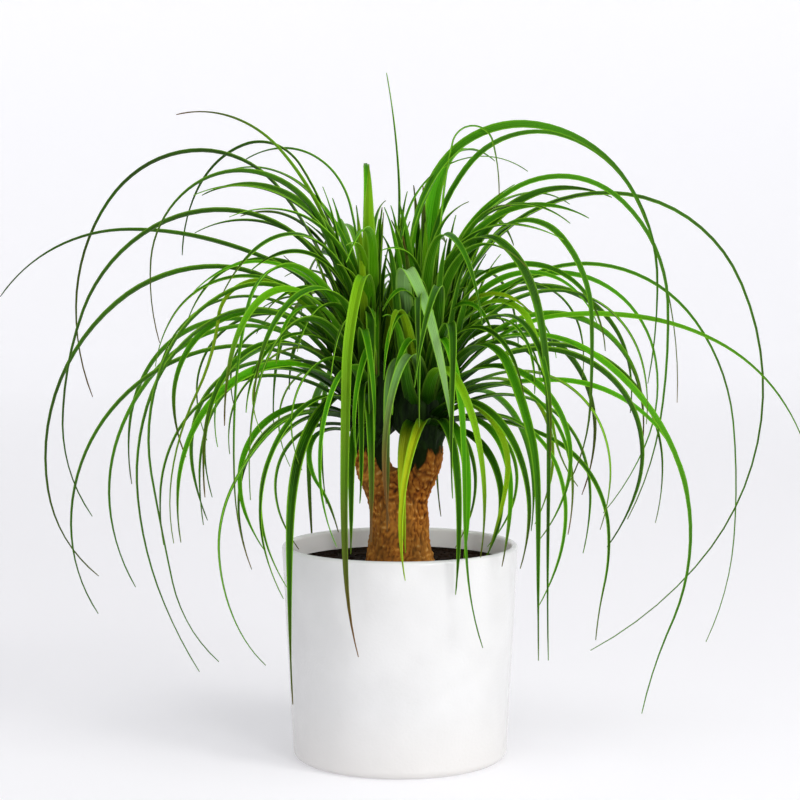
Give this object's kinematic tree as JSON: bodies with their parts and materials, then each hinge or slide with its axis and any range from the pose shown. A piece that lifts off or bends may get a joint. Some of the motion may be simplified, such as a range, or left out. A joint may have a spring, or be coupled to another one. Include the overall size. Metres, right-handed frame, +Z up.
{
  "type": "potted ponytail palm",
  "caption": "Potted ponytail palm: a plain glazed pot filled with soil, a short forked trunk, and a fountain of long narrow arching leaves on each fork.",
  "frame": {"origin": "centre of the pot's flat underside, on the surface it stands on", "axes": "+Z up along the pot's axis, -Y towards the viewer of the picture, +X to the viewer's right"},
  "size_m": [0.588, 0.3307, 0.4919],
  "materials": {
    "glaze": "gloss",
    "soil": "matte",
    "bark": "matte",
    "leaf": "satin"
  },
  "bodies": {
    "root": {"pot": "glaze", "soil": "soil", "trunk": "bark", "left_head": "leaf", "right_head": "leaf"}
  },
  "joints": []
}
